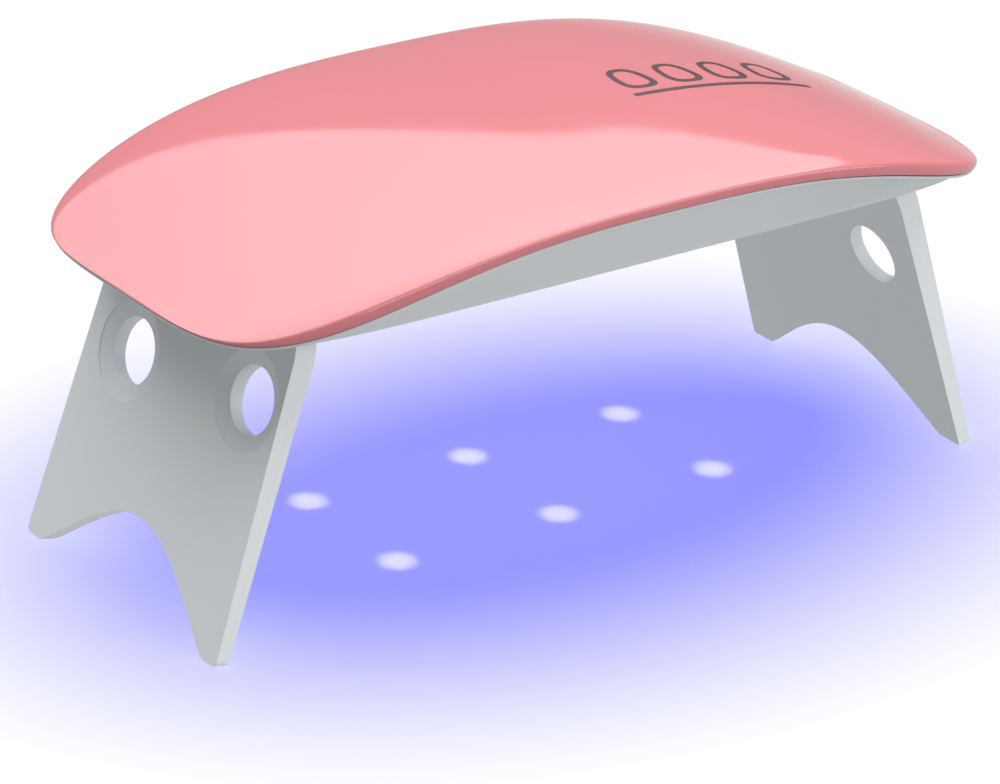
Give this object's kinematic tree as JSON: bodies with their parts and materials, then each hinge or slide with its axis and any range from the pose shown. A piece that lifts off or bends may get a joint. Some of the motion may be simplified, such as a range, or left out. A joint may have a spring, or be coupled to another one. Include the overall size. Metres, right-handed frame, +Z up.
{
  "type": "uv led nail lamp",
  "caption": "Small folding nail lamp: a domed cover on a shallow housing with downward LEDs, standing on fold-out legs.",
  "frame": {"origin": "on the table under the middle of the lamp, between the open legs", "axes": "+X along the lamp from one leg to the other, +Y towards the side with the power inlet and button, +Z up"},
  "size_m": [0.133, 0.068, 0.0592],
  "materials": {
    "cover": "gloss pink moulding",
    "housing": "fine satin light grey",
    "leg": "fine satin light grey",
    "reflector": "bright white reflector sheet",
    "led_board": "white solder mask on aluminium",
    "control_board": "green circuit board",
    "chip": "black moulding",
    "capacitor": "bright can",
    "link": "bare strip",
    "switch_body": "black moulding",
    "socket_metal": "plated shell",
    "led_package": "white package",
    "led_lens": "clear dome",
    "lens": "clear light pipe",
    "screw": "plated",
    "rod": "drawn wire",
    "plunger": "natural moulding",
    "button": "satin light grey"
  },
  "bodies": {
    "housing": {"top_cover": "cover", "lower_housing": "housing", "reflector_plate": "reflector", "led_board": "led_board", "uv_led_1": "led_package", "uv_led_2": "led_package", "uv_led_3": "led_package", "uv_led_4": "led_package", "uv_led_5": "led_package", "uv_led_6": "led_package", "led_lens_1": "led_lens", "led_lens_2": "led_lens", "led_lens_3": "led_lens", "led_lens_4": "led_lens", "led_lens_5": "led_lens", "led_lens_6": "led_lens", "control_board": "control_board", "driver_chip": "chip", "power_inductor": "chip", "filter_capacitors": "capacitor", "chip_resistors": "chip", "board_link": "link", "tact_switch": "switch_body", "micro_usb_shell": "socket_metal", "micro_usb_tongue": "chip", "indicator_led": "led_package", "indicator_lens": "lens", "case_screws": "screw", "left_hinge_pin": "rod", "right_hinge_pin": "rod"},
    "left_leg_body": {"left_leg": "leg"},
    "right_leg_body": {"right_leg": "leg"},
    "button": {"power_button": "button", "switch_plunger": "plunger"}
  },
  "joints": [
    {"name": "left_leg_fold", "type": "hinge", "parent": "housing", "child": "left_leg_body", "pos_m": [-0.04986, 0, 0.0465], "axis": [0, -1, 0], "range_deg": [0, 107.5]},
    {"name": "right_leg_fold", "type": "hinge", "parent": "housing", "child": "right_leg_body", "pos_m": [0.04986, 0, 0.0465], "axis": [0, 1, 0], "range_deg": [0, 107.5]},
    {"name": "power_button_press", "type": "slide", "parent": "housing", "child": "button", "axis": [0, -1, 0], "range_m": [0, 0.0005], "stiffness_N_per_m": 800}
  ]
}
